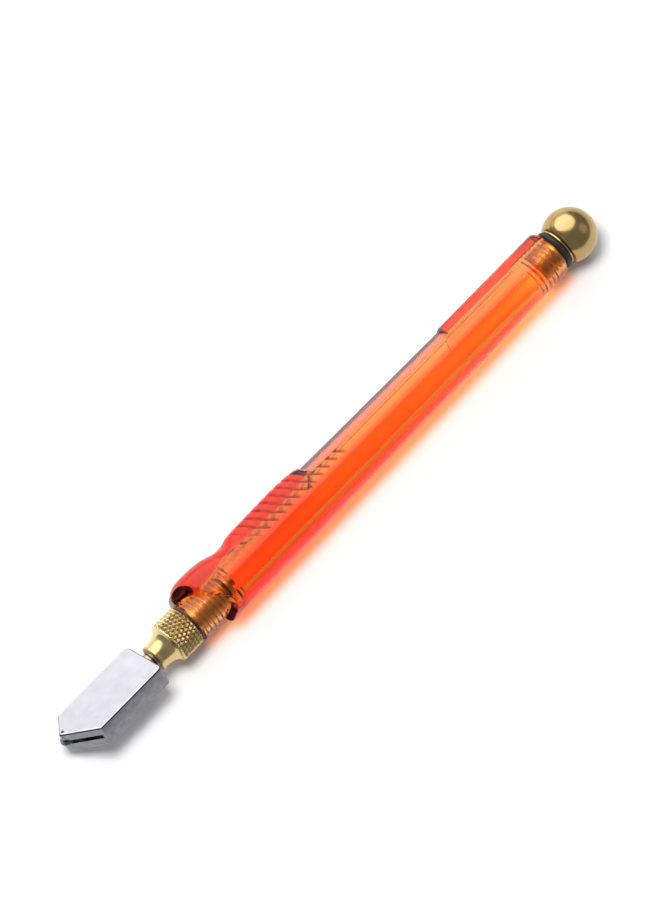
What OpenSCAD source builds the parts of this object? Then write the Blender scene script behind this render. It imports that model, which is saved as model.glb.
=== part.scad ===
// Oil-feed glass cutter, lying on a table with its axis along X.
// The wheel is at the -X end and the ball cap at the +X end, and Z = 0 is the table.
// Each sub-part is drawn on its own axis, with x = 0 at the wheel's front edge, and then placed.

/* [Overall] */
// Length from the wheel's front edge to the end of the ball cap
overall_l = 175; // [174:0.5:178]
// Angle that the swivelling head is turned to, about the tool's axis
head_roll = -32.5; // [-60:0.5:60]

/* [Cutting wheel] */
// Diameter of the carbide wheel at its cutting edge
wheel_d = 3.5; // [3:0.1:3.7]
// Thickness of the wheel
wheel_t = 1.0; // [0.8:0.1:1.1]
// Included angle of the wheel's cutting edge
wheel_edge_angle = 135; // [120:1:150]
// Diameter of the axle pin
axle_d = 0.8; // [0.7:0.1:1]

/* [Cutter head] */
// Length of the head block, from its point to its back face
head_l = 26.5; // [25:0.5:27]
// Width of the head block
head_w = 13.2; // [12:0.2:14]
// Thickness of the head block
head_t = 5.4; // [5:0.1:6]
// Distance of the point from the swivel axis, which makes the wheel trail
point_offset = 1.7; // [1:0.1:2.2]
// Slope of the two chamfers behind the point
point_slope = 38; // [32:1:42]
// Width of the slot that holds the wheel
slot_w = 1.2; // [1.15:0.05:1.6]
// Distance from the wheel's front edge to the bottom of the slot
slot_depth = 6.8; // [5:0.1:7]

/* [Stem and valve] */
// Diameter of the stem where it shows between head and ferrule
stem_d = 4.7; // [4.5:0.1:4.8]
// Diameter of the stem's rear shank
shank_d = 3.2; // [3:0.1:3.3]
// Distance that the head can be pressed in, which opens the valve
press_travel = 1.2; // [0.6:0.1:1.2]
// Diameter of the oil bore in the stem and the head
oil_bore_d = 1.2; // [1:0.1:1.3]
// Wire diameter of the return spring
spring_wire_d = 0.45; // [0.35:0.05:0.5]
// Number of coils in the return spring
spring_coils = 7; // [5:1:9]

/* [Ferrule] */
// Diameter of the knurled part
knurl_d = 10.56; // [10.2:0.02:10.7]
// Length of the knurled part
knurl_l = 6.3; // [5.5:0.1:7]
// Diameter of the front lip
lip_d = 6.9; // [6.6:0.1:7.4]

/* [Handle] */
// Length of the clear handle
handle_l = 122.1; // [121:0.1:122.5]
// Diameter of the neck that follows the ferrule
neck_d = 10.74; // [10.6:0.02:11]
// Diameter of the round body behind the finger stops
body_front_d = 14.1; // [13.8:0.1:14.2]
// Number of narrow flats round the body, one of which lies on the table
body_sides = 24; // [16:4:48]
// Diameter of the round body at its tail
body_tail_d = 11.36; // [11.2:0.02:11.8]
// Angle of the two finger stops and flats above and below the handle's middle plane
stop_angle = 33; // [25:1:33]
// Radius of each finger stop
stop_r = 5.0; // [4.8:0.1:5.0]
// Radius of each ribbed finger pad
pad_r = 4.25; // [4:0.05:4.4]
// Distance of the stops' and pads' centre lines from the tool's axis
stop_offset = 3.7; // [3.5:0.1:3.7]
// Distance of the two flat sides from the axis, at their front end
flat_front = 5.6; // [5.5:0.1:5.9]
// Distance of the two flat sides from the axis, at their tail end
flat_tail = 5.13; // [5:0.01:5.4]
// Diameter of the oil reservoir, which is the tap drill of the two threads
reservoir_d = 6.6; // [6.2:0.1:6.8]

/* [Threads and cap] */
// Nominal diameter of the threads at both ends of the handle
thread_d = 8; // [7.8:0.1:8]
// Running clearance on radius between a thread and its hole, and round the stem
clearance = 0.05; // [0.02:0.01:0.08]
// Diameter of the ball cap
ball_d = 13; // [12.6:0.1:13.2]
// Section diameter of the cap's O-ring
ring_section = 1.5; // [1.3:0.1:1.5]

/* [Hidden] */
$fn = 96;

eps = 0.01;
// Centre line of the upper finger stop, from the tool's axis; the lower one is its mirror image
stop_y = stop_offset * cos(stop_angle);
stop_z = stop_offset * sin(stop_angle);
// The tool rests on the round of its body, and leans on its lower finger stop.
// Its axis is beside the middle of its width, because both stops are on the +Y side.
axis_height = body_front_d / 2;
axis_y = (body_front_d / 2 - stop_y - stop_r) / 2;

// Stations along the axis, from the wheel's front edge
axle_x = wheel_d / 2;
point_x = 0.65;
head_back_x = point_x + head_l;
ferrule_x = 28.5;
knurl_x = 33.6;
knurl_back_x = knurl_x + knurl_l;
gasket_t = 0.7;
handle_x = knurl_back_x + gasket_t;
handle_back_x = handle_x + handle_l;
cap_x = handle_back_x + ring_section;
ball_x = overall_l - ball_d / 2;

// Stem and valve train
stem_socket_l = 5;
stem_x = head_back_x - stem_socket_l;
shank_x = 36;
shank_back_x = 54.4;
oil_bore_back_x = 49;
cross_hole_x = 44;
washer_t = 0.4;
spring_seat_x = 46;
spring_r = (stem_d - spring_wire_d) / 2 - 0.15;
spigot_back_x = 50.9;
seal_t = 0.8;
disc_x = spigot_back_x + seal_t;
disc_t = 0.8;
clip_x = disc_x + disc_t;
clip_t = 0.5;
clip_groove_r = 1.3;
ring_groove_x = 34.2;
ring_groove_l = 0.9;
stem_ring_section = 0.8;

// Handle stations
thread_r = thread_d / 2;
spigot_r = thread_r - clearance;
relief_r = 3.6;
front_tap_back_x = 54.4;
tail_tap_x = 151.5;
stud_x = 156.7;
flat_x = 84.6;
flat_back_x = 130.4;
tail_round_r = 1.6;
flat_tilt = atan((flat_front - flat_tail) / (flat_back_x - flat_x));
scallop_slope = 40.5;
scallop_side = 50;
scallop_x = handle_x + 3.5;

// A solid of revolution about X, from a list of [x, radius] points along its outside
module turned(points) {
    first = points[0];
    last = points[len(points) - 1];
    rotate([0, 90, 0])
        rotate_extrude()
            polygon(concat([[0, first[0]]], [for (p = points) [p[1], p[0]]], [[0, last[0]]]));
}

// A straight rod along X
module rod(x0, x1, d) {
    translate([x0, 0, 0])
        rotate([0, 90, 0])
            cylinder(h = x1 - x0, d = d);
}

// A washer or tube along X
module tube(x0, x1, outer_d, inner_d) {
    difference() {
        rod(x0, x1, outer_d);
        rod(x0 - eps, x1 + eps, inner_d);
    }
}

// A round-section ring about X
module ring(x, mean_r, section) {
    translate([x, 0, 0])
        rotate([0, 90, 0])
            rotate_extrude()
                translate([mean_r, 0])
                    circle(d = section, $fn = 32);
}

// Places what is drawn from the wheel's front edge on the tool's axis above the table
module on_axis(roll = 0) {
    translate([-overall_l / 2, axis_y, axis_height])
        rotate([roll, 0, 0])
            children();
}

// Outline of the head block from its wide side, with a rounded point
module head_outline() {
    half_w = head_w / 2;
    point_r = 0.6;
    slope = tan(point_slope);
    shoulder_a = point_x + (half_w - point_offset) * slope;
    shoulder_b = point_x + (half_w + point_offset) * slope;
    nose_x = point_x + point_r / cos(point_slope);
    nose = [for (a = [180 - 90 + point_slope : 13 : 180 + 90 - point_slope])
        [nose_x + point_r * cos(a), point_offset + point_r * sin(a)]];
    polygon(concat([[head_back_x, half_w], [shoulder_a, half_w]], nose,
                   [[shoulder_b, -half_w], [head_back_x, -half_w]]));
}

module cutting_wheel() {
    edge_drop = wheel_t / 2 / tan(wheel_edge_angle / 2);
    rim_r = wheel_d / 2;
    bore_r = axle_d / 2 + 0.03;
    color([0.24, 0.24, 0.27])
        on_axis(head_roll)
            translate([axle_x, point_offset, 0])
                rotate_extrude()
                    polygon([[bore_r, -wheel_t / 2], [rim_r - edge_drop, -wheel_t / 2], [rim_r, 0],
                             [rim_r - edge_drop, wheel_t / 2], [bore_r, wheel_t / 2]]);
}

module wheel_axle() {
    recess = 0.1;
    color([0.45, 0.45, 0.48])
        on_axis(head_roll)
            translate([axle_x, point_offset, recess - head_t / 2])
                cylinder(h = head_t - 2 * recess, d = axle_d);
}

module cutter_head() {
    color([0.82, 0.82, 0.86])
        on_axis(head_roll)
            difference() {
                translate([0, 0, -head_t / 2])
                    linear_extrude(head_t)
                        head_outline();
                translate([-1, -head_w, -slot_w / 2])
                    cube([slot_depth + 1, 2 * head_w, slot_w]);
                translate([axle_x, point_offset, -head_t])
                    cylinder(h = 2 * head_t, d = axle_d);
                rod(slot_depth - eps, head_back_x, oil_bore_d);
                rod(stem_x, head_back_x + eps, stem_d);
            }
}

module head_stem() {
    color([0.7, 0.7, 0.73])
        on_axis(head_roll)
            difference() {
                turned([[stem_x, stem_d / 2], [shank_x, stem_d / 2], [shank_x, shank_d / 2],
                        [clip_x, shank_d / 2], [clip_x, clip_groove_r],
                        [clip_x + clip_t, clip_groove_r], [clip_x + clip_t, shank_d / 2],
                        [shank_back_x, shank_d / 2]]);
                rod(stem_x - eps, oil_bore_back_x, oil_bore_d);
                translate([cross_hole_x, 0, 0])
                    cylinder(h = shank_d, d = 0.8, center = true);
            }
}

module oil_wick() {
    color([0.93, 0.9, 0.82])
        on_axis(head_roll)
            rod(slot_depth + 0.3, cross_hole_x - 1, oil_bore_d - 0.1);
}

module spring_washer() {
    color([0.7, 0.7, 0.73])
        on_axis()
            tube(shank_x, shank_x + washer_t, stem_d - 0.1, shank_d + 0.1);
}

// Return spring: one wire swept along a helix, as rings of points that a polyhedron joins
module return_spring() {
    x0 = shank_x + washer_t + spring_wire_d / 2;
    pitch = (spring_seat_x - x0 - spring_wire_d / 2) / spring_coils;
    sides = 8;
    steps = 20;
    count = spring_coils * steps;
    points = [for (i = [0 : count], k = [0 : sides - 1])
        let (turn = 360 * i / steps, around = 360 * k / sides,
             r = spring_r + spring_wire_d / 2 * cos(around))
            [x0 + pitch * i / steps + spring_wire_d / 2 * sin(around), r * cos(turn), r * sin(turn)]];
    walls = [for (i = [0 : count - 1], k = [0 : sides - 1])
        let (a = i * sides + k, b = i * sides + (k + 1) % sides)
            [a, a + sides, b + sides, b]];
    caps = [[for (k = [0 : sides - 1]) k],
            [for (k = [sides - 1 : -1 : 0]) count * sides + k]];
    color([0.75, 0.75, 0.78])
        on_axis()
            polyhedron(points, concat(walls, caps));
}

module ferrule() {
    lip_r = lip_d / 2;
    knurl_r = knurl_d / 2;
    flare_r = knurl_r - 0.15;
    flare_x = ferrule_x + 1.2;
    edge = 0.4;
    flare = [for (a = [0 : 15 : 90])
        [flare_x + (knurl_x - flare_x) * sin(a), lip_r + (flare_r - lip_r) * (1 - cos(a))]];
    color([0.83, 0.68, 0.36])
        on_axis()
            difference() {
                turned(concat([[ferrule_x, lip_r - 0.3], [ferrule_x + 0.3, lip_r]], flare,
                              [[knurl_x, knurl_r - 0.1], [knurl_x + 0.2, knurl_r],
                               [knurl_back_x - edge, knurl_r], [knurl_back_x, knurl_r - edge],
                               [knurl_back_x, relief_r], [handle_x + 0.8, relief_r],
                               [handle_x + 1.2, spigot_r], [spigot_back_x, spigot_r]]));
                rod(ferrule_x - eps, spring_seat_x, stem_d + 2 * clearance);
                rod(spring_seat_x - eps, spigot_back_x + eps, shank_d + 2 * clearance);
                rod(ring_groove_x, ring_groove_x + ring_groove_l, stem_d + 2 * stem_ring_section + 0.1);
            }
}

module stem_oring() {
    color([0.12, 0.12, 0.12])
        on_axis()
            ring(ring_groove_x + ring_groove_l / 2, (stem_d + stem_ring_section) / 2 + 0.03,
                 stem_ring_section);
}

module valve_seal() {
    color([0.12, 0.12, 0.12])
        on_axis()
            tube(spigot_back_x, disc_x, 6.4, shank_d + 0.3);
}

module valve_disc() {
    color([0.83, 0.68, 0.36])
        on_axis(head_roll)
            tube(disc_x, disc_x + disc_t, 5.8, shank_d);
}

module stem_clip() {
    color([0.55, 0.55, 0.58])
        on_axis(head_roll)
            difference() {
                tube(clip_x, clip_x + clip_t, 5.2, 2 * clip_groove_r);
                translate([clip_x - eps, -clip_groove_r * 0.8, 0])
                    cube([clip_t + 2 * eps, clip_groove_r * 1.6, 4]);
            }
}

module ferrule_gasket() {
    color([0.12, 0.1, 0.1])
        on_axis()
            tube(knurl_back_x, handle_x, 10, 2 * relief_r + 0.2);
}

// Outline of a finger stop with its pad behind it, as [x, radius] points
function stop_outline() =
    [[handle_x, stop_r - 1.9], [handle_x + 1.4, stop_r - 0.65],
     [handle_x + 2.9, stop_r - 0.15], [handle_x + 4.6, stop_r],
     [handle_x + 9.4, stop_r - 0.12], [handle_x + 12, stop_r - 0.45],
     [handle_x + 14.2, stop_r - 1.1], [handle_x + 15.8, 3.4], [handle_x + 17.6, 3.4],
     [handle_x + 19.2, pad_r - 0.1], [handle_x + 21, pad_r], [handle_x + 38, pad_r],
     [flat_x, stop_r - 2.1]];

// The two finger stops and pads on the +Y side, with a flat web that joins them
module stops_and_pads() {
    web_inset = 0.03;
    // Each round surface has a seam, and this turns the seams away from each other
    seam_turn = 97;
    outline = stop_outline();
    for (side = [-1, 1])
        translate([0, stop_y, side * stop_z])
            rotate([side * seam_turn, 0, 0])
                turned(outline);
    translate([0, stop_y - web_inset, -stop_z])
        linear_extrude(2 * stop_z)
            polygon(concat([[handle_x, 0]], outline, [[flat_x, 0]]));
}

module handle_round_body() {
    tail_r = body_tail_d / 2;
    round_x = handle_back_x - tail_round_r;
    tail_round = [for (a = [0 : 15 : 90])
        [round_x + tail_round_r * sin(a), tail_r - tail_round_r + tail_round_r * cos(a)]];
    profile = concat([[handle_x, body_front_d / 2], [handle_x + 17, body_front_d / 2],
                      [90, 6.7 / 7.05 * body_front_d / 2], [130, 6.18 / 7.05 * body_front_d / 2]],
                     tail_round);
    rotate([180 / body_sides, 0, 0])
        hull()
            for (p = profile)
                translate([p[0] - (p[0] > handle_x ? eps : 0), 0, 0])
                    rotate([0, 90, 0])
                        cylinder(h = eps, r = p[1] / cos(180 / body_sides), $fn = body_sides);
}

// Space in front of a plane that leans back towards the upper -Y side of the handle
module scallop() {
    reach = 30;
    translate([scallop_x, 0, 0])
        rotate([scallop_side, 0, 0])
            rotate([0, scallop_slope, 0])
                translate([-reach, -reach, -reach])
                    cube([reach, 2 * reach, 2 * reach]);
}

// Space outside one flat side
module outside_flat() {
    rotate([stop_angle, 0, 0])
        translate([flat_x, flat_front, 0])
            rotate([0, 0, -flat_tilt])
                translate([0, 0, -10])
                    cube([(flat_back_x - flat_x) / cos(flat_tilt), 10, 20]);
}

module handle_outside() {
    difference() {
        union() {
            handle_round_body();
            stops_and_pads();
        }
        scallop();
        mirror([0, 0, 1]) scallop();
        outside_flat();
        mirror([0, 0, 1]) outside_flat();
    }
    rotate([11, 0, 0])
        rod(handle_x, handle_x + 12, neck_d);
}

module handle() {
    color([0.97, 0.36, 0.1, 0.7])
        on_axis()
            difference() {
                handle_outside();
                rod(handle_x - eps, handle_back_x + eps, reservoir_d);
                rod(handle_x - eps, front_tap_back_x, thread_d);
                rod(tail_tap_x, handle_back_x + eps, thread_d);
            }
}

module cap_oring() {
    color([0.08, 0.08, 0.08])
        on_axis()
            ring(handle_back_x + ring_section / 2, relief_r + 0.08 + ring_section / 2, ring_section);
}

module ball_cap() {
    ball_r = ball_d / 2;
    shoulder_angle = acos((ball_x - cap_x) / ball_r);
    steps = 24;
    sphere_part = [for (i = [0 : steps])
        let (a = shoulder_angle + (180 - shoulder_angle) * i / steps)
            [ball_x - ball_r * cos(a), ball_r * sin(a)]];
    color([0.83, 0.68, 0.36])
        on_axis()
            turned(concat([[stud_x, spigot_r - 0.4], [stud_x + 0.4, spigot_r],
                           [handle_back_x - 1.2, spigot_r], [handle_back_x - 0.8, relief_r],
                           [cap_x, relief_r]], sphere_part));
}

cutting_wheel();
wheel_axle();
cutter_head();
head_stem();
oil_wick();
spring_washer();
return_spring();
ferrule();
stem_oring();
valve_seal();
valve_disc();
stem_clip();
ferrule_gasket();
handle();
cap_oring();
ball_cap();
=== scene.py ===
# Oil-feed glass cutter lying on a pale table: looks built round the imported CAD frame.
# The tool's axis runs along X. Shapes are worked out in millimetres, as stations from the wheel's front
# edge and radii from that axis, and made in metres.
import math

import bpy
import numpy as np
from mathutils import Matrix, Vector


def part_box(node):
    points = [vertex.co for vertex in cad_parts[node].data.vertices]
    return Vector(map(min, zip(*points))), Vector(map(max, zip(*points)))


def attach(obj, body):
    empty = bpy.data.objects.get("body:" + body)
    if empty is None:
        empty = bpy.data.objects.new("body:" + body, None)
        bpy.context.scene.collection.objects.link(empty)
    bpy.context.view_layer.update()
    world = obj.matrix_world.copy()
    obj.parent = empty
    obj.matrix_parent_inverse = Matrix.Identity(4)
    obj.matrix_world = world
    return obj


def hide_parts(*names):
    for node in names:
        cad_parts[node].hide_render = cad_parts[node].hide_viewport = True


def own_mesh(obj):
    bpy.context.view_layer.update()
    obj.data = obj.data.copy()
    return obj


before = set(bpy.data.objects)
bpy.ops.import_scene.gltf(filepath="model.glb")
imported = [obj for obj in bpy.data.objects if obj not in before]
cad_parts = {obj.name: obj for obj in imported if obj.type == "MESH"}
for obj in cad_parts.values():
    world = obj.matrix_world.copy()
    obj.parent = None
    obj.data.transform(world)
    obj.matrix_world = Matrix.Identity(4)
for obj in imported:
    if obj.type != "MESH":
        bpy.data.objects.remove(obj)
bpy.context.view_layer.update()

MM = 0.001
WHEEL_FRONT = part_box("cutting_wheel")[0].x
handle_low, handle_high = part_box("handle")
ferrule_low, ferrule_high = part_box("ferrule")
oring_low, oring_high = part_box("cap_oring")
ball_low, ball_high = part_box("ball_cap")
AXIS_Y = (ball_low.y + ball_high.y) / 2
AXIS_Z = (ball_low.z + ball_high.z) / 2


def station(x):
    """Millimetres from the wheel's front edge to a place in the row frame."""
    return (x - WHEEL_FRONT) / MM


# ---------------------------------------------------------------- driving sizes, in millimetres and degrees

# Each finger stop's angle from the middle of the stops' side, and the head's turn about the tool's axis
STOP_ANGLE = 33.0
HEAD_ROLL = -32.5

HANDLE_X = station(handle_low.x)
HANDLE_BACK = station(handle_high.x)
NECK_R = 5.37
TAIL_ROUND = 1.9
# The reservoir, the thread in each of its ends, and the stations where the two threads stop
RESERVOIR_R = 3.3
THREAD_R = 3.98
THREAD_RELIEF = 0.15
THREAD_PITCH = 1.25
FRONT_TAP = 54.4
TAIL_TAP = 151.5
MOUTH_BEVEL = 0.35
# Centre lines of the stops and pads, from the tool's axis, and how softly both join the body
STOP_OFFSET = 3.7
STOP_BLEND = 0.4
PAD_BLEND = 0.25
# The long flats, the gentle slope in front of them, and their distance from the axis at each end
FLAT_START = 84.6
FLAT_END = 130.4
FLAT_RUN_IN = 2.6
FLAT_FRONT, FLAT_TAIL = 5.6, 5.13
# How far the outside reaches from the axis on the stops' side, and above and below
SIDE_REACH = 8.085
REST_REACH = 7.04

# Radius of the round body along the handle
BODY_RADII = [(40.0, 7.03), (57.0, 7.01), (74.0, 6.88), (91.0, 6.69), (112.0, 6.45), (133.0, 6.14),
              (148.0, 5.87), (165.0, 5.60)]
# Radius of a finger stop about its own centre line
STOP_RADII = [(40.6, 2.2), (41.2, 3.45), (42.0, 4.18), (43.4, 4.78), (45.2, 5.0), (49.0, 4.93), (51.2, 4.72),
              (53.0, 4.3), (55.0, 3.65), (57.0, 2.9), (59.0, 2.2)]
# Radius of a ribbed pad about its own centre line
PAD_RADII = [(56.8, 2.8), (58.0, 3.25), (59.0, 3.72), (60.2, 4.06), (62.0, 4.2), (66.0, 4.25), (78.0, 4.25),
             (80.5, 4.08), (83.0, 3.6), (85.5, 2.9)]
# Where the body ends over the neck, by angle from the middle of the stops' side
FRONT_EDGE = [(0, 40.95), (20, 40.95), (33, 41.1), (42, 42.9), (63, 45.2), (80, 46.3), (95, 47.2),
              (108, 48.7), (130, 50.0), (155, 49.6), (180, 47.3)]
# Grooves of the pads: the first one's station, their pitch and their depth at the stops' angle
RIB_FIRST = 60.05
RIB_PITCH = 2.51
RIB_COUNT = 12
RIB_DEPTH = 0.42
# A groove's steep front wall and its hollow back slope
RIB_WALL = 0.2
RIB_SLOPE = 1.4
RIB_HOLLOW = 1.8
# Run of a groove towards the tail: a quadratic in the degrees past the stops' angle, up to the groove's end
RIB_RUN = (0.77, 0.05095, 0.000505)
RIB_FADE, RIB_END = 50, 62
# Share of its depth that a groove loses where the pad meets the round body, over these degrees
RIB_LOSS = 0.72
RIB_LOSS_ANGLE = 28
# The last grooves cover only a band of the round body, and the first one is shallow
LATE_RIBS = 3
LATE_START, LATE_END = (30, 40), (50, 58)
FIRST_RIB_SHARE = 0.45
# What is left of the grooves' depth on the side that lies down
LOWER_RIBS = 0.12


# ---------------------------------------------------------------- mesh tools

def through(points, x):
    """Smooth curve through (station, value) points."""
    xs = np.array([p[0] for p in points])
    ys = np.array([p[1] for p in points])
    x = np.clip(x, xs[0], xs[-1])
    slopes = np.gradient(ys, xs)
    i = np.clip(np.searchsorted(xs, x) - 1, 0, len(xs) - 2)
    h = xs[i + 1] - xs[i]
    t = (x - xs[i]) / h
    return ((2 * t**3 - 3 * t**2 + 1) * ys[i] + (t**3 - 2 * t**2 + t) * h * slopes[i]
            + (3 * t**2 - 2 * t**3) * ys[i + 1] + (t**3 - t**2) * h * slopes[i + 1])


def smooth_step(a, b, x):
    """0 up to a, 1 from b on, and a smooth rise between them."""
    t = np.clip((x - a) / (b - a), 0, 1)
    return t * t * (3 - 2 * t)


def smooth_max(a, b, width):
    """The larger of a and b, with a round corner where they cross."""
    h = np.clip(0.5 + (a - b) / (2 * width), 0, 1)
    return b + (a - b) * h + width * h * (1 - h)


def outwards(points, faces):
    """The faces, turned over if they face into the closed shape."""
    first = np.array([f[:3] for f in faces])
    a, b, c = (points[first[:, i]] - points.mean(axis=0) for i in range(3))
    inside_out = np.einsum("ij,ij->", a, np.cross(b, c)) < 0
    return [tuple(int(i) for i in (f[::-1] if inside_out else f)) for f in faces]


def mesh_object(name, points, faces, material, body, replaced=(), smooth_angle=None):
    """A piece in the row frame from points in metres, riding on a CAD body."""
    mesh = bpy.data.meshes.new(name)
    mesh.from_pydata([tuple(p) for p in points], [], outwards(points, faces))
    mesh.validate()
    mesh.update()
    mesh.materials.append(material)
    mesh.shade_smooth()
    if smooth_angle is not None:
        mesh.set_sharp_from_angle(angle=math.radians(smooth_angle))
    piece = bpy.data.objects.new(name, mesh)
    bpy.context.collection.objects.link(piece)
    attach(piece, body)
    if replaced:
        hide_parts(*replaced)
    return piece


def ring_points(x, radius, angles):
    """Points round the tool's axis, in metres: x and radius are millimetres, angles are radians from +Y."""
    x = np.broadcast_to(x, angles.shape)
    radius = np.broadcast_to(radius, angles.shape)
    return np.stack([WHEEL_FRONT + x * MM, AXIS_Y + radius * MM * np.cos(angles),
                     AXIS_Z + radius * MM * np.sin(angles)], axis=1)


def ring_faces(rings, sides, closed):
    """Quads between neighbouring rings of points; closed joins the last ring to the first."""
    faces = []
    pairs = rings if closed else rings - 1
    for i in range(pairs):
        a, b = i * sides, ((i + 1) % rings) * sides
        for k in range(sides):
            n = (k + 1) % sides
            faces.append((a + k, a + n, b + n, b + k))
    return faces


def turned(name, profile, material, body, replaced=(), sides=128, closed=False, smooth_angle=35):
    """A turned piece from (station, radius) points, front to back; a radius may be a function of angle.
    An open profile is capped at both ends, and a closed one is a tube or ring."""
    angles = np.linspace(0, 2 * math.pi, sides, endpoint=False)
    rings = [ring_points(x, r(angles) if callable(r) else r, angles) for x, r in profile]
    points = np.concatenate(rings)
    faces = ring_faces(len(rings), sides, closed)
    if not closed:
        ends = [ring_points(profile[i][0], 0.0, angles[:1]) for i in (0, -1)]
        points = np.concatenate([points] + ends)
        front, back = len(points) - 2, len(points) - 1
        last = (len(rings) - 1) * sides
        for k in range(sides):
            n = (k + 1) % sides
            faces.append((front, n, k))
            faces.append((back, last + k, last + n))
    return mesh_object(name, points, faces, material, body, replaced, smooth_angle)


def arc(cx, cr, radius, a0, a1, steps):
    """(station, radius) points of an arc; angle 0 points outwards and 90 towards the tail."""
    return [(cx + radius * math.sin(math.radians(a0 + (a1 - a0) * i / steps)),
             cr + radius * math.cos(math.radians(a0 + (a1 - a0) * i / steps))) for i in range(steps + 1)]


# ---------------------------------------------------------------- material tools

class Nodes:
    """Short names for building one material's node tree."""

    def __init__(self, name):
        self.material = bpy.data.materials.new(name)
        self.material.use_nodes = True
        self.tree = self.material.node_tree
        self.tree.nodes.clear()
        self.output = self.tree.nodes.new("ShaderNodeOutputMaterial")

    def add(self, kind, **settings):
        node = self.tree.nodes.new("ShaderNode" + kind)
        for key, value in settings.items():
            setattr(node, key, value)
        return node

    def link(self, source, target):
        self.tree.links.new(source, target)

    def principled(self, **values):
        node = self.add("BsdfPrincipled")
        for key, value in values.items():
            node.inputs[key.replace("_", " ")].default_value = value
        self.link(node.outputs[0], self.output.inputs["Surface"])
        return node

    def noise(self, scale, detail=4.0, roughness=0.55, stretch=None, distortion=0.0):
        """Noise over object coordinates; scale is in features per metre."""
        place = self.add("TexCoord")
        noise = self.add("TexNoise")
        noise.inputs["Scale"].default_value = scale
        noise.inputs["Detail"].default_value = detail
        noise.inputs["Roughness"].default_value = roughness
        noise.inputs["Distortion"].default_value = distortion
        if stretch:
            mapping = self.add("Mapping")
            mapping.inputs["Scale"].default_value = stretch
            self.link(place.outputs["Object"], mapping.inputs[0])
            self.link(mapping.outputs[0], noise.inputs["Vector"])
        else:
            self.link(place.outputs["Object"], noise.inputs["Vector"])
        return noise.outputs["Fac"]

    def ramp(self, factor, stops):
        """Colours between (place, colour) stops, where a plain number is a grey."""
        ramp = self.add("ValToRGB")
        while len(ramp.color_ramp.elements) < len(stops):
            ramp.color_ramp.elements.new(0.5)
        for element, (place, colour) in zip(ramp.color_ramp.elements, stops):
            element.position = place
            element.color = (*colour, 1) if isinstance(colour, tuple) else (colour,) * 3 + (1,)
        self.link(factor, ramp.inputs[0])
        return ramp.outputs[0]

    def mixed(self, factor, a, b):
        """a where the factor is 0 and b where it is 1; either may be a plain colour."""
        mix = self.add("Mix", data_type="RGBA")
        for socket, value in ((mix.inputs["Factor"], factor), (mix.inputs["A"], a), (mix.inputs["B"], b)):
            if isinstance(value, tuple):
                socket.default_value = (*value, 1)
            else:
                self.link(value, socket)
        return mix.outputs["Result"]

    def along(self, stations):
        """1 between two stations of the tool and 0 outside them, in object coordinates."""
        split = self.add("SeparateXYZ")
        self.link(self.add("TexCoord").outputs["Object"], split.inputs[0])
        inside = None
        for place, sense in zip(stations, ("GREATER_THAN", "LESS_THAN")):
            test = self.add("Math", operation=sense)
            self.link(split.outputs["X"], test.inputs[0])
            test.inputs[1].default_value = WHEEL_FRONT + place * MM
            if inside:
                both = self.add("Math", operation="MULTIPLY")
                self.link(inside, both.inputs[0])
                self.link(test.outputs[0], both.inputs[1])
                inside = both.outputs[0]
            else:
                inside = test.outputs[0]
        return inside

    def bump(self, height, strength, distance, under=None):
        bump = self.add("Bump")
        bump.inputs["Strength"].default_value = strength
        bump.inputs["Distance"].default_value = distance
        self.link(height, bump.inputs["Height"])
        if under:
            self.link(under, bump.inputs["Normal"])
        return bump.outputs[0]


def clear_acrylic():
    """Clear plastic that is deeper orange where it is thicker, with painted shade darkening it in the
    grooves.
    """
    n = Nodes("clear_orange_acrylic")
    glass = n.principled(Roughness=0.045, IOR=1.49, Transmission_Weight=1.0,
                         Specular_Tint=(1.0, 0.82, 0.70, 1))
    depth = n.add("Attribute")
    depth.attribute_name = "groove_depth"
    # Painted shade: the base colour turns dark red where the grooves are deep
    groove_shade = n.ramp(depth.outputs["Fac"], [(0.12, (1.0, 0.98, 0.97)), (0.5, (0.28, 0.05, 0.03))])
    n.link(groove_shade, glass.inputs["Base Color"])
    smear = n.noise(900, detail=5, stretch=(0.3, 1, 1))
    n.link(n.ramp(smear, [(0.35, 0.055), (0.75, 0.075)]), glass.inputs["Roughness"])
    path = n.add("LightPath")
    clear = n.add("BsdfTransparent")
    clear.inputs["Color"].default_value = (1.0, 0.94, 0.9, 1)
    mix = n.add("MixShader")
    n.link(path.outputs["Is Shadow Ray"], mix.inputs[0])
    n.link(glass.outputs[0], mix.inputs[1])
    n.link(clear.outputs[0], mix.inputs[2])
    n.link(mix.outputs[0], n.output.inputs["Surface"])
    tint = n.add("VolumeAbsorption")
    tint.inputs["Color"].default_value = (0.935, 0.61, 0.11, 1)
    tint.inputs["Density"].default_value = 600.0
    n.link(tint.outputs[0], n.output.inputs["Volume"])
    return n.material


def brass(name, tones, roughness, pits, oiled):
    """Turned brass with dark crevices, and dull between the two stations where the oily handle holds it."""
    n = Nodes(name)
    metal = n.principled(Metallic=1.0)
    polished = n.ramp(n.noise(160, detail=6), list(zip((0.3, 0.55, 0.8), tones)))
    dull = n.ramp(n.noise(700, detail=5, stretch=(4, 1, 1)),
                  [(0.3, (0.42, 0.24, 0.09)), (0.7, (0.68, 0.44, 0.19))])
    inside = n.along(oiled)
    # Darker where Pointiness finds crevices
    crevice = n.ramp(n.add("NewGeometry").outputs["Pointiness"], [(0.43, 1.0), (0.49, 0.0)])
    crevice_darkened = n.mixed(crevice, polished, (0.09, 0.05, 0.015))
    n.link(n.mixed(inside, crevice_darkened, dull), metal.inputs["Base Color"])
    smear = n.ramp(n.noise(700, detail=6, roughness=0.7), [(0.3, roughness[0]), (0.75, roughness[1])])
    n.link(n.mixed(inside, smear, (0.42, 0.42, 0.42)), metal.inputs["Roughness"])
    fine = n.bump(n.noise(5200, detail=3), 0.12, 0.00001)
    n.link(n.bump(n.noise(1100, detail=4), pits, 0.00006, under=fine), metal.inputs["Normal"])
    return n.material


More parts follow.
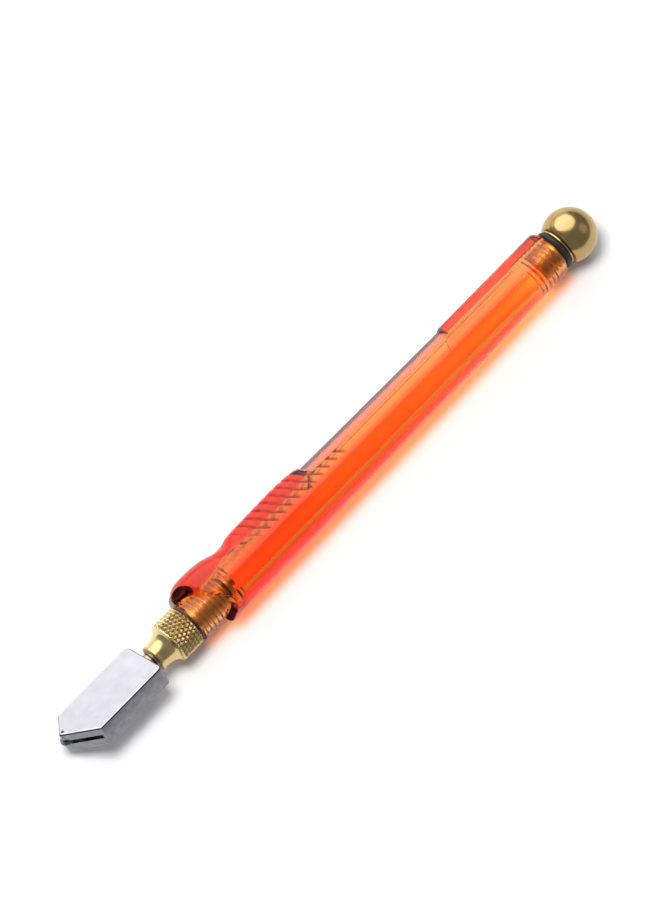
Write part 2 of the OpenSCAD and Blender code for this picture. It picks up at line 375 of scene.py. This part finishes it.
def chrome():
    """Polished on the two wide faces of the head, with a dark reflection painted round their rims, and satin
    grey on its edges, where the darker grey is painted shade.
    """
    n = Nodes("bright_chrome")
    metal = n.principled(Metallic=1.0)
    across = n.add("VectorMath", operation="DOT_PRODUCT")
    tilt = math.radians(HEAD_ROLL)
    across.inputs[1].default_value = (0, -math.sin(tilt), math.cos(tilt))
    n.link(n.add("TexCoord").outputs["Normal"], across.inputs[0])
    size = n.add("Math", operation="ABSOLUTE")
    n.link(across.outputs["Value"], size.inputs[0])
    wide = n.ramp(size.outputs[0], [(0.86, 0.0), (0.96, 1.0)])
    tone = n.noise(120, detail=3)
    polished = n.ramp(tone, [(0.3, (0.66, 0.65, 0.70)), (0.7, (0.74, 0.73, 0.78))])
    # The edges have a satin ground finish, and their darker grey is painted shade
    ground = n.ramp(n.noise(700, detail=5), [(0.3, (0.22, 0.22, 0.24)), (0.7, (0.33, 0.33, 0.36))])
    # Painted dark reflection: near black on the rounded rims between the wide faces and the edges
    painted_dark_rim = n.ramp(size.outputs[0], [(0.4, 0.0), (0.5, 1.0), (0.88, 1.0), (0.95, 0.0)])
    n.link(n.mixed(painted_dark_rim, n.mixed(wide, ground, polished), (0.06, 0.06, 0.07)), metal.inputs["Base Color"])
    haze = n.noise(600, detail=6, roughness=0.7)
    satin = n.ramp(haze, [(0.3, 0.3), (0.75, 0.42)])
    gloss = n.ramp(haze, [(0.3, 0.14), (0.75, 0.24)])
    n.link(n.mixed(wide, satin, gloss), metal.inputs["Roughness"])
    n.link(n.bump(n.noise(2600, detail=4), 0.1, 0.00002), metal.inputs["Normal"])
    return n.material


def steel(name, colour=(0.55, 0.55, 0.57), roughness=(0.2, 0.38), groove=None):
    """Turned steel, nearly black between the two stations of a groove, where the groove's shade is painted.
    """
    n = Nodes(name)
    metal = n.principled(Metallic=1.0)
    tone = n.noise(500, detail=4, stretch=(6, 1, 1))
    darker = tuple(c * 0.75 for c in colour)
    shade = n.ramp(tone, [(0.3, darker), (0.7, colour)])
    if groove:
        # Painted groove shade: nearly black between the groove's stations
        shade = n.mixed(n.along(groove), shade, (0.04, 0.03, 0.025))
    n.link(shade, metal.inputs["Base Color"])
    n.link(n.ramp(tone, [(0.3, roughness[1]), (0.7, roughness[0])]), metal.inputs["Roughness"])
    n.link(n.bump(n.noise(4000, detail=2, stretch=(5, 1, 1)), 0.15, 0.00001), metal.inputs["Normal"])
    return n.material


def rubber(name, dark, light, roughness):
    n = Nodes(name)
    skin = n.principled()
    tone = n.noise(900, detail=5)
    n.link(n.ramp(tone, [(0.3, dark), (0.75, light)]), skin.inputs["Base Color"])
    n.link(n.ramp(tone, [(0.3, roughness[0]), (0.75, roughness[1])]), skin.inputs["Roughness"])
    n.link(n.bump(n.noise(5000, detail=3), 0.25, 0.00002), skin.inputs["Normal"])
    return n.material


def cotton():
    n = Nodes("cotton_wick")
    thread = n.principled(Roughness=0.9)
    strand = n.noise(3500, detail=4, stretch=(0.3, 1, 1), distortion=0.6)
    tone = n.ramp(strand, [(0.3, (0.62, 0.56, 0.44)), (0.7, (0.86, 0.82, 0.72))])
    n.link(tone, thread.inputs["Base Color"])
    n.link(n.bump(strand, 0.6, 0.0001), thread.inputs["Normal"])
    return n.material


def white_table():
    n = Nodes("pale_table")
    top = n.principled(Roughness=0.5)
    tone = n.noise(12, detail=2)
    n.link(n.ramp(tone, [(0.3, (0.90, 0.90, 0.90)), (0.7, (0.92, 0.92, 0.92))]), top.inputs["Base Color"])
    return n.material


ACRYLIC = clear_acrylic()
BALL_BRASS = brass("polished_brass", [(0.42, 0.28, 0.11), (0.54, 0.38, 0.16), (0.62, 0.45, 0.22)],
                   roughness=(0.13, 0.27), pits=0.35, oiled=(150, HANDLE_BACK - 0.2))
FERRULE_BRASS = brass("knurled_brass", [(0.68, 0.48, 0.19), (0.80, 0.60, 0.28), (0.88, 0.70, 0.38)],
                      roughness=(0.16, 0.30), pits=0.1, oiled=(HANDLE_X - 0.1, 60))
CHROME = chrome()
STEEL = steel("turned_steel")
SPRING_STEEL = steel("spring_steel", (0.45, 0.45, 0.48))
BLACK_STEEL = steel("blackened_steel", (0.10, 0.10, 0.11), (0.3, 0.5))
# The stem gets painted groove shade, a nearly black band between these stations
STEM_STEEL = steel("oiled_steel", (0.50, 0.38, 0.26), (0.22, 0.36), groove=(27.75, 28.15))
CARBIDE = steel("ground_carbide", (0.2, 0.2, 0.22), (0.25, 0.45))
RUBBER = rubber("black_nitrile", (0.006, 0.006, 0.007), (0.018, 0.017, 0.018), (0.42, 0.62))
COTTON = cotton()
AMBER_RUBBER = rubber("amber_seal", (0.05, 0.012, 0.004), (0.11, 0.032, 0.010), (0.3, 0.5))


# ---------------------------------------------------------------- handle

def folded(theta):
    """Angle from the middle of the stops' side, the same above and below it."""
    return np.abs((theta + math.pi) % (2 * math.pi) - math.pi)


# Angles from the middle of a flat stop here, in radians, just short of the right angle
WIDEST = 1.5


def web_radius(own, away):
    """Outline of two round lobes with a flat web between them, at an angle from the web's middle."""
    reach = STOP_OFFSET * math.cos(math.radians(STOP_ANGLE)) + own
    half_web = STOP_OFFSET * math.sin(math.radians(STOP_ANGLE))
    phi = away - math.radians(STOP_ANGLE)
    across = np.maximum(own**2 - (STOP_OFFSET * np.sin(phi))**2, 0)
    lobe = np.where((across > 0) & (np.cos(phi) > 0), STOP_OFFSET * np.cos(phi) + np.sqrt(across), 0)
    turn = np.minimum(away, WIDEST)
    return np.where(np.tan(turn) * reach < half_web, reach / np.cos(turn), lobe)


def rib_shift(away):
    """How far towards the tail a groove has run, at an angle from the middle of the stops' side."""
    phi = np.minimum(np.degrees(away) - STOP_ANGLE, RIB_END)
    return RIB_RUN[0] + RIB_RUN[1] * phi + RIB_RUN[2] * phi**2


def rib_cut(x, away):
    """Share of the full depth of the slanted saw-tooth grooves of the pads."""
    turn = (x - rib_shift(away) - RIB_FIRST) / RIB_PITCH
    # A groove's stretch goes from 0.3 of a pitch in front of its deepest line to 0.7 behind it
    index = np.round(turn - 0.2)
    off = (turn - index) * RIB_PITCH
    wall = np.clip(1 + off / RIB_WALL, 0, 1)
    slope = np.clip(1 - off / RIB_SLOPE, 0, 1) ** RIB_HOLLOW
    groove = np.where(off < 0, wall, slope)
    phi = np.degrees(away) - STOP_ANGLE
    length = 1 - smooth_step(RIB_FADE, RIB_END, phi)
    late = (index >= RIB_COUNT - LATE_RIBS) & (index < RIB_COUNT)
    length = np.where(late, smooth_step(*LATE_START, phi) * (1 - smooth_step(*LATE_END, phi)), length)
    size = np.where(index == 0, FIRST_RIB_SHARE, 1.0) * ((index >= 0) & (index < RIB_COUNT))
    return groove * size * length


def grooves(x, theta):
    """The grooves' share anywhere on the outside: nearly none on the side that lies down."""
    upper = smooth_step(-0.35, 0.1, np.sin(theta))
    return rib_cut(x, folded(theta)) * (LOWER_RIBS + (1 - LOWER_RIBS) * upper)


def groove_depth(away):
    """Full depth of the grooves, which are shallower where the pads meet the round body."""
    return RIB_DEPTH * (1 - RIB_LOSS * smooth_step(0, RIB_LOSS_ANGLE, np.degrees(away) - STOP_ANGLE))


def body_radius(x, theta):
    """Outside of the handle behind its front edge."""
    away = folded(theta)
    body = through(BODY_RADII, x) * np.ones_like(theta)
    radius = smooth_max(body, web_radius(through(STOP_RADII, x), away), STOP_BLEND)
    radius = smooth_max(radius, web_radius(through(PAD_RADII, x), away), PAD_BLEND)
    radius = radius - grooves(x, theta) * groove_depth(away)
    flat_height = FLAT_FRONT + (FLAT_TAIL - FLAT_FRONT) * (x - FLAT_START) / (FLAT_END - FLAT_START)
    flat = flat_height / np.cos(np.minimum(np.abs(away - math.radians(STOP_ANGLE)), WIDEST))
    begun = smooth_step(FLAT_START - FLAT_RUN_IN, FLAT_START + 0.2, x)
    sunk = begun * (1 - smooth_step(FLAT_END - 0.25, FLAT_END + 0.25, x))
    radius = np.minimum(radius, flat + (1 - sunk) * 3)
    radius = np.minimum(radius, SIDE_REACH / np.maximum(np.cos(theta), 0.1))
    # The tool stands on the round of its body, which nothing reaches below
    return np.minimum(radius, REST_REACH / np.maximum(np.abs(np.sin(theta)), 0.1))


def thread_ridge(x, theta, start, steepness, sunk):
    """Height of a helical ridge, from 0 to 1; start is in turns, and sunk widens the root."""
    phase = (x / THREAD_PITCH - theta / (2 * math.pi) + start) % 1
    return np.clip(steepness * (1 - 2 * np.abs(phase - 0.5)) - sunk, 0, 1)


def bore_radius(x, theta):
    """Inside of the handle: the reservoir, with a helical thread in each end."""
    tapped = np.maximum(1 - smooth_step(FRONT_TAP - 2.5, FRONT_TAP + 0.5, x),
                        smooth_step(TAIL_TAP - 0.5, TAIL_TAP + 2.5, x))
    ridge = thread_ridge(x, theta, start=0.5, steepness=1.35, sunk=0.12)
    plain = np.minimum(RESERVOIR_R + (THREAD_R - RESERVOIR_R) * tapped, THREAD_R)
    return plain - THREAD_RELIEF * tapped * ridge


def spaced(*spans):
    """Stations from (start, end, count) spans that follow each other."""
    return np.concatenate([np.linspace(a, b, n, endpoint=False) for a, b, n in spans])


def make_handle():
    """One closed skin of rings: along the outside from the neck to the tail, and back along the bore."""
    sides = 200
    theta = np.linspace(0, 2 * math.pi, sides, endpoint=False)
    away = folded(theta)
    edge = through(FRONT_EDGE, np.degrees(away))
    # The front face rises from the neck to the full radius between these two stations
    step_start = np.maximum(edge - 0.4, HANDLE_X + 0.06)
    step_end = edge + 0.5
    ribs_start, ribs_end, straight = 58.0, 90.0, 104.0
    round_x = HANDLE_BACK - TAIL_ROUND
    rings = [ring_points(HANDLE_X, NECK_R - 0.2, theta)]
    for t in (0.0, 0.3, 0.6, 0.85):
        rings.append(ring_points(HANDLE_X + 0.04 + (step_start - HANDLE_X - 0.04) * t, NECK_R, theta))
    for t in 1 - np.cos(np.linspace(0, math.pi / 2, 14)):
        x = step_start + (step_end - step_start) * t
        rise = math.sqrt(1 - (1 - t)**2)
        rings.append(ring_points(x, NECK_R + (body_radius(x, theta) - NECK_R) * rise, theta))
    # Behind the front edge the rings lean until they run along the grooves, and then straighten again
    lean = rib_shift(away)
    for t in np.linspace(0.03, 1, 36):
        x = step_end + (ribs_start + lean * 0.85 - step_end) * t
        rings.append(ring_points(x, body_radius(x, theta), theta))
    # Each groove has rings close together at its wall, and wider apart down its back slope
    cuts = [RIB_FIRST + RIB_PITCH * i + off for i in range(-1, RIB_COUNT)
            for off in (-0.21, -0.14, -0.07, 0.0, 0.1, 0.24, 0.45, 0.75, 1.15, 1.6, 2.0)]
    for at in [c for c in cuts if ribs_start + 0.1 < c < ribs_end]:
        x = at + lean * min(1.0, 0.85 + 0.15 * (at - ribs_start) / 2)
        rings.append(ring_points(x, body_radius(x, theta), theta))
    for t in np.linspace(0.06, 1, 22):
        x = ribs_end + lean + (straight - ribs_end - lean) * t
        rings.append(ring_points(x, body_radius(x, theta), theta))
    for x in spaced((straight + 1, FLAT_END - 0.4, 14), (FLAT_END - 0.4, FLAT_END + 0.4, 9),
                    (FLAT_END + 0.4, round_x, 14)):
        rings.append(ring_points(x, body_radius(x, theta), theta))
    tail_r = body_radius(round_x, theta)
    for x, r in arc(round_x, 0, TAIL_ROUND, 0, 90, 12):
        rings.append(ring_points(x, tail_r - TAIL_ROUND + r, theta))
    inner = spaced((HANDLE_BACK, TAIL_TAP, 80), (TAIL_TAP, FRONT_TAP, 16), (FRONT_TAP, HANDLE_X, 98))
    for x in list(inner) + [HANDLE_X]:
        mouth = MOUTH_BEVEL * (smooth_step(HANDLE_BACK - MOUTH_BEVEL, HANDLE_BACK, x)
                               + 1 - smooth_step(HANDLE_X, HANDLE_X + MOUTH_BEVEL, x))
        rings.append(ring_points(x, bore_radius(x, theta) + mouth, theta))
    faces = ring_faces(len(rings), sides, closed=True)
    points = np.concatenate(rings)
    handle = mesh_object("clear_handle", points, faces, ACRYLIC, "barrel", ["handle"],
                         smooth_angle=50)
    # The material paints shade into the bottoms of the grooves
    outer = np.arange(len(points)) < sides * (len(rings) - len(inner) - 1)
    depth = grooves((points[:, 0] - WHEEL_FRONT) / MM, np.tile(theta, len(rings))) * outer
    groove = handle.data.attributes.new("groove_depth", "FLOAT", "POINT")
    groove.data.foreach_set("value", depth.astype(np.float32))


make_handle()


# ---------------------------------------------------------------- ferrule

KNURL_R = 5.28
KNURL_X = 33.6
KNURL_BACK = 39.9
KNURL_STARTS = 29
KNURL_DEPTH = 0.42
KNURL_ANGLE = 30
KNURL_CREST = 0.82
LIP_R = 3.45
LIP_ROUND = 0.35
SPIGOT_R = 3.9
SPIGOT_THREAD_DEPTH = 0.3
RELIEF_R = 3.6
SEAL_X = 40.12
# Where the rounded rims of the ferrule's seal and of the cap's collar start
SEAL_R = 4.85
COLLAR_R = 4.75
# Spring chamber inside the ferrule, and the narrower bore behind it for the stem's shank
CHAMBER_R = 2.4
CHAMBER_BACK = 46.0
SHANK_BORE_R = 1.65


def spigot_thread(start, end, count):
    """Rings of an outside thread, the same on the ferrule and on the cap."""
    def radius_at(x):
        return lambda angles: SPIGOT_R - SPIGOT_THREAD_DEPTH * (1 - thread_ridge(x, angles, 0, 1.3, 0.15))
    return [(x, radius_at(x)) for x in np.linspace(start, end, count)]


def knurl_radius(x):
    """Diamond knurl: two crossing families of V grooves, faded out at both edges."""
    lead = 2 * math.pi * KNURL_R / KNURL_STARTS / math.tan(math.radians(KNURL_ANGLE))

    def radius(angles):
        turns = angles * KNURL_STARTS / (2 * math.pi)
        right = np.abs((x / lead + turns) % 1 - 0.5) * 2
        left = np.abs((x / lead - turns) % 1 - 0.5) * 2
        crest = np.minimum(np.minimum(right, left), KNURL_CREST) / KNURL_CREST
        edge = smooth_step(KNURL_X, KNURL_X + 0.4, x) * (1 - smooth_step(KNURL_BACK - 0.5, KNURL_BACK, x))
        front_bevel = 0.1 * (1 - smooth_step(KNURL_X, KNURL_X + 0.3, x))
        bevel = front_bevel + 0.45 * smooth_step(KNURL_BACK - 0.55, KNURL_BACK, x) ** 2
        return KNURL_R - bevel - KNURL_DEPTH * (1 - crest) * edge
    return radius


def make_ferrule():
    """Brass nose: a rounded lip, a concave flare, the knurl, and the threaded spigot in the handle."""
    front = station(ferrule_low.x)
    back = station(ferrule_high.x)
    lip = [(front, LIP_R - 0.55)]
    lip += arc(front + LIP_ROUND, LIP_R - LIP_ROUND, LIP_ROUND, -90, 0, 6)
    lip += [(front + 0.75, LIP_R)]
    waist_x = front + 1.0
    flare = []
    for turn in range(0, 91, 6):
        x = waist_x + (KNURL_X - 0.15 - waist_x) * math.sin(math.radians(turn))
        flare.append((x, LIP_R - 0.12 + (KNURL_R - 0.02 - LIP_R) * (1 - math.cos(math.radians(turn)))))
    knurl = [(x, knurl_radius(x)) for x in np.linspace(KNURL_X, KNURL_BACK, 60)]
    neck = [(SEAL_X - 0.05, KNURL_R - 0.52), (SEAL_X - 0.02, RELIEF_R), (HANDLE_X + 0.8, RELIEF_R)]
    spigot = spigot_thread(HANDLE_X + 1.2, back - 0.4, 70)
    spigot += [(back, SPIGOT_R - 0.75), (back, 1.7)]
    bore = [(CHAMBER_BACK, SHANK_BORE_R), (CHAMBER_BACK, CHAMBER_R), (front, CHAMBER_R)]
    turned("knurled_ferrule", lip + flare + knurl + neck + spigot + bore, FERRULE_BRASS, "nose",
           ["ferrule"], sides=KNURL_STARTS * 12, closed=True, smooth_angle=32)


def make_gasket():
    """Thin seal between the knurl and the handle."""
    back = HANDLE_X - 0.01
    ring = [(SEAL_X, RELIEF_R + 0.1), (SEAL_X, SEAL_R)]
    ring += arc(SEAL_X + 0.1, SEAL_R, 0.1, -60, 0, 3)
    ring += [(back - 0.05, SEAL_R + 0.1), (back, SEAL_R), (back, RELIEF_R + 0.1)]
    turned("ferrule_seal", ring, AMBER_RUBBER, "gasket", ["ferrule_gasket"], closed=True)


make_ferrule()
make_gasket()


# ---------------------------------------------------------------- ball cap and O-ring

def make_ball_cap():
    """Brass ball with a collar that bears on the O-ring, and a threaded stud in the handle."""
    ball_r = (ball_high.z - ball_low.z) / 2 / MM
    centre = station(ball_high.x) - ball_r
    shoulder = station(oring_high.x)
    stud = station(ball_low.x)
    stud_back = HANDLE_BACK - 1.2
    profile = [(stud, SPIGOT_R - 0.8)]
    profile += spigot_thread(stud + 0.4, stud_back, 40)
    profile += [(stud_back + 0.3, RELIEF_R), (shoulder, RELIEF_R), (shoulder + 0.02, COLLAR_R)]
    profile += arc(shoulder + 0.17, COLLAR_R, 0.15, -60, 0, 3)
    profile += [(shoulder + 0.5, 4.86), (shoulder + 0.62, 4.72)]
    start = math.degrees(math.asin((shoulder + 0.78 - centre) / ball_r))
    profile += arc(centre, 0, ball_r, start, 88.5, 72)
    turned("brass_ball_cap", profile, BALL_BRASS, "cap", ["ball_cap"], smooth_angle=32)


def make_cap_ring():
    """Round O-ring between the handle and the ball cap."""
    section = (oring_high.x - oring_low.x) / 2 / MM
    mean = (oring_high.z - oring_low.z) / 2 / MM - section
    x = (station(oring_low.x) + station(oring_high.x)) / 2
    turned("cap_sealing_ring", arc(x, mean, section, 0, 360, 28)[:-1], RUBBER, "cap_seal",
           ["cap_oring"], closed=True, smooth_angle=180)


make_ball_cap()
make_cap_ring()


# ---------------------------------------------------------------- head

HEAD_FRONT, HEAD_BACK = 0.65, 27.15
HEAD_HALF_W, HEAD_HALF_T = 6.6, 2.7
HEAD_EDGE = 0.42
# The point is off the axis, and its two sides slope back at this rate
POINT_SIDE = 1.7
POINT_SLOPE = math.tan(math.radians(38))
POINT_ROUND = 0.6
SLOT_DEPTH = 6.8
SLOT_HALF_GAP = 0.6
AXLE_X = 1.75
AXLE_R = 0.4
OIL_HOLE_R = 0.6
STEM_HOLE_R = 2.35
STEM_HOLE_X = 22.15


def rounded_outline(corners):
    """Points and outward normals round a polygon whose (x, y, radius) corners are all rounded."""
    points, normals = [], []
    for i, (x, y, radius) in enumerate(corners):
        here = np.array((x, y))
        before = np.array(corners[i - 1][:2]) - here
        after = np.array(corners[(i + 1) % len(corners)][:2]) - here
        before, after = before / np.linalg.norm(before), after / np.linalg.norm(after)
        inwards = (before + after) / np.linalg.norm(before + after)
        half = math.acos(np.dot(before, inwards))
        centre = here + inwards * radius / math.sin(half)
        start = -np.array((before[1], -before[0]))
        if np.dot(start, inwards) > 0:
            start = -start
        end = np.array((after[1], -after[0]))
        if np.dot(end, inwards) > 0:
            end = -end
        for t in np.linspace(0, 1, 9):
            normal = start * (1 - t) + end * t
            normal /= np.linalg.norm(normal)
            points.append(centre + normal * radius)
            normals.append(normal)
    return np.array(points), np.array(normals)


def in_head(points):
    """The row frame's place of points given as station, across the wide face and through it."""
    tilt = math.radians(HEAD_ROLL)
    x, y, z = np.asarray(points, float).T
    return np.stack([WHEEL_FRONT + x * MM, AXIS_Y + (y * math.cos(tilt) - z * math.sin(tilt)) * MM,
                     AXIS_Z + (y * math.sin(tilt) + z * math.cos(tilt)) * MM], axis=1)


def cutter(points, faces):
    """A closed shape in the head's directions that a Boolean cuts away."""
    points = in_head(points)
    faces = outwards(points, faces)
    mesh = bpy.data.meshes.new("cutter")
    mesh.from_pydata([tuple(p) for p in points], [], faces)
    piece = bpy.data.objects.new("cutter", mesh)
    bpy.context.collection.objects.link(piece)
    return piece


def round_cutter(centre, along, radius, start, end, sides=40):
    """A drill along the tool (0) or through the head (2)."""
    points = []
    for place in (start, end):
        for k in range(sides):
            turn = 2 * math.pi * k / sides
            u, v = radius * math.cos(turn), radius * math.sin(turn)
            points.append((place, centre + u, v) if along == 0 else (centre[0] + u, centre[1] + v, place))
    faces = [tuple(range(sides))[::-1], tuple(range(sides, 2 * sides))]
    faces += [(k, (k + 1) % sides, sides + (k + 1) % sides, sides + k) for k in range(sides)]
    return cutter(points, faces)


def make_head():
    """Flat block with a rounded outline and edges, its saw slot and its drilled holes."""
    shoulder_a = HEAD_FRONT + (HEAD_HALF_W - POINT_SIDE) * POINT_SLOPE
    shoulder_b = HEAD_FRONT + (HEAD_HALF_W + POINT_SIDE) * POINT_SLOPE
    nose = HEAD_FRONT - POINT_ROUND * (1 / math.cos(math.atan(POINT_SLOPE)) - 1)
    outline, normals = rounded_outline([
        (HEAD_BACK, HEAD_HALF_W, 1.5), (shoulder_a, HEAD_HALF_W, 0.5), (nose, POINT_SIDE, POINT_ROUND),
        (shoulder_b, -HEAD_HALF_W, 0.5), (HEAD_BACK, -HEAD_HALF_W, 1.1)])
    levels = []
    for turn in range(90, -1, -18):
        z = -HEAD_HALF_T + HEAD_EDGE * (1 - math.sin(math.radians(turn)))
        levels.append((z, HEAD_EDGE * (1 - math.cos(math.radians(turn)))))
    levels += [(-z, inset) for z, inset in levels[::-1]]
    rings = [np.column_stack([outline - normals * inset, np.full(len(outline), z)]) for z, inset in levels]
    sides = len(outline)
    faces = ring_faces(len(rings), sides, closed=False)
    faces += [tuple(range(sides)), tuple(range((len(rings) - 1) * sides, len(rings) * sides))[::-1]]
    head = mesh_object("chromed_head", in_head(np.concatenate(rings)), faces, CHROME, "head",
                       ["cutter_head"], smooth_angle=28)
    box = [(x, y, z) for x in (-1, SLOT_DEPTH) for y in (-9, 9) for z in (-SLOT_HALF_GAP, SLOT_HALF_GAP)]
    slot = cutter(box, [(0, 1, 3, 2), (4, 6, 7, 5), (0, 4, 5, 1), (2, 3, 7, 6), (0, 2, 6, 4), (1, 5, 7, 3)])
    drills = [slot,
              round_cutter((AXLE_X, POINT_SIDE), 2, AXLE_R, -4, 4),
              round_cutter(0, 0, OIL_HOLE_R, SLOT_DEPTH - 0.1, HEAD_BACK - 1),
              round_cutter(0, 0, STEM_HOLE_R, STEM_HOLE_X, HEAD_BACK + 1)]
    for drill in drills:
        cut = head.modifiers.new("cut", "BOOLEAN")
        cut.operation = "DIFFERENCE"
        cut.solver = "EXACT"
        cut.object = drill
    shape = bpy.data.meshes.new_from_object(head.evaluated_get(bpy.context.evaluated_depsgraph_get()))
    head.modifiers.clear()
    head.data = shape
    for drill in drills:
        bpy.data.objects.remove(drill)


make_head()


# ---------------------------------------------------------------- return spring

SPRING_WIRE_R = 0.225
SPRING_TURNS = 8
CLOSED_PITCH = 0.49


def make_spring():
    """Compression spring with closed and ground ends."""
    low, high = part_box("return_spring")
    front, seat = station(low.x), station(high.x)
    radius = (high.z - low.z) / 2 / MM - SPRING_WIRE_R
    start, end = front + SPRING_WIRE_R * 0.6, seat - SPRING_WIRE_R * 0.6
    open_pitch = (end - start - 2 * CLOSED_PITCH) / (SPRING_TURNS - 2)
    around = np.linspace(0, 2 * math.pi, 12, endpoint=False)
    rings = []
    for turn in np.linspace(0, SPRING_TURNS, SPRING_TURNS * 32 + 1):
        closed = min(turn, 1) + max(turn - SPRING_TURNS + 1, 0)
        x = start + CLOSED_PITCH * closed + open_pitch * (turn - closed) + SPRING_WIRE_R * np.sin(around)
        angle = np.full(around.shape, 2 * math.pi * turn)
        rings.append(ring_points(np.clip(x, front, seat), radius + SPRING_WIRE_R * np.cos(around), angle))
    faces = ring_faces(len(rings), len(around), closed=False)
    last = (len(rings) - 1) * len(around)
    faces += [tuple(range(len(around)))[::-1], tuple(range(last, last + len(around)))]
    spring = mesh_object("coiled_return_spring", np.concatenate(rings), faces, SPRING_STEEL, "nose",
                         ["return_spring"], smooth_angle=40)
    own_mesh(spring)


make_spring()


# ---------------------------------------------------------------- nodes that keep their CAD shape

def finish_node(name, material):
    """Gives a CAD node its look."""
    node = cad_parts[name]
    node.data.materials.clear()
    node.data.materials.append(material)


finish_node("head_stem", STEM_STEEL)
finish_node("wheel_axle", BLACK_STEEL)
finish_node("cutting_wheel", CARBIDE)
finish_node("oil_wick", COTTON)
finish_node("spring_washer", STEEL)
finish_node("stem_oring", RUBBER)
finish_node("valve_seal", RUBBER)
finish_node("valve_disc", FERRULE_BRASS)
finish_node("stem_clip", SPRING_STEEL)


# ---------------------------------------------------------------- table, light and camera

# The camera's turn about the vertical and its lift in degrees, its distance in metres and its lens
AXIS_TURN = 47.5
CAMERA_ELEVATION = 69.0
CAMERA_DISTANCE = 2.5
CAMERA_LENS = 441.0
# Where the camera looks: a point of the tool's axis, moved sideways in the picture
AIM_STATION = 92.4
AIM_SIDE = 4.6
TABLE_REACH = 3.0
# The key softbox is made of three ellipses, which together fade towards their edge
SOFTBOX_SIZES = (0.9, 1.2, 1.5)


def camera_frame():
    """Right, up and forward directions of the camera, in the row frame."""
    turn, lift = math.radians(AXIS_TURN), math.radians(CAMERA_ELEVATION)
    right = Vector((math.cos(turn), -math.sin(turn), 0))
    level = Vector((math.sin(turn), math.cos(turn), 0))
    forward = level * math.cos(lift) - Vector((0, 0, math.sin(lift)))
    return right, right.cross(forward), forward


def make_camera():
    right, up, forward = camera_frame()
    side = Vector((1, 0, 0)).cross(forward).normalized()
    aim = Vector((WHEEL_FRONT + AIM_STATION * MM, AXIS_Y, AXIS_Z)) + side * AIM_SIDE * MM
    data = bpy.data.cameras.new("photo_camera")
    data.lens = CAMERA_LENS
    camera = bpy.data.objects.new("photo_camera", data)
    camera.matrix_world = Matrix.Translation(aim - forward * CAMERA_DISTANCE) @ Matrix(
        (right, up, -forward)).transposed().to_4x4()
    bpy.context.collection.objects.link(camera)
    bpy.context.scene.camera = camera


def make_table():
    mesh = bpy.data.meshes.new("table_top")
    corners = [(x * TABLE_REACH, y * TABLE_REACH, 0) for x, y in ((-1, -1), (1, -1), (1, 1), (-1, 1))]
    mesh.from_pydata(corners, [], [(0, 1, 2, 3)])
    mesh.materials.append(white_table())
    table = bpy.data.objects.new("table_top", mesh)
    bpy.context.collection.objects.link(table)


def area_light(name, direction, distance, size, radiance, shape="RECTANGLE"):
    """A light that faces the tool's middle from metres away; direction is (right, up, towards the camera)."""
    right, up, forward = camera_frame()
    towards = (right * direction[0] + up * direction[1] - forward * direction[2]).normalized()
    data = bpy.data.lights.new(name, "AREA")
    data.shape = shape
    data.size, data.size_y = size
    area = size[0] * size[1] * (math.pi / 4 if shape == "ELLIPSE" else 1)
    data.energy = radiance * math.pi * area
    light = bpy.data.objects.new(name, data)
    light.location = towards * distance
    light.rotation_mode = "QUATERNION"
    light.rotation_quaternion = towards.to_track_quat("Z", "Y")
    bpy.context.collection.objects.link(light)
    return light


def make_lights():
    for size in SOFTBOX_SIZES:
        key = area_light("key_softbox", (-0.28, 0.80, 0.53), distance=1.0, size=(size, size), radiance=1.7,
                         shape="ELLIPSE")
        # Only the widest one lights the table, so that the shadow from the tent shows there
        key.visible_diffuse = size == SOFTBOX_SIZES[-1]
    area_light("low_card", (-0.52, 0.84, -0.13), distance=1.3, size=(1.5, 0.42), radiance=0.41)
    area_light("wall", (-0.52, 0.84, 0.16), distance=1.4, size=(1.8, 1.3), radiance=0.31)
    area_light("side_card", (0.80, 0.43, 0.38), distance=1.0, size=(0.6, 0.6), radiance=0.25, shape="ELLIPSE")
    tent = area_light("tent", (-0.21, 0.30, 0.92), distance=1.1, size=(0.4, 0.4), radiance=19.0)
    tent.visible_glossy = False
    world = bpy.data.worlds.new("studio")
    world.use_nodes = True
    sky = world.node_tree.nodes["Background"]
    sky.inputs["Color"].default_value = (0.95, 0.95, 1.0, 1)
    sky.inputs["Strength"].default_value = 0.25
    bpy.context.scene.world = world


make_camera()
make_table()
make_lights()

scene = bpy.context.scene
scene.view_settings.view_transform = "Standard"
scene.cycles.use_denoising = True
scene.cycles.max_bounces = 24
scene.cycles.transmission_bounces = 20
scene.cycles.transparent_max_bounces = 24
scene.cycles.volume_bounces = 0
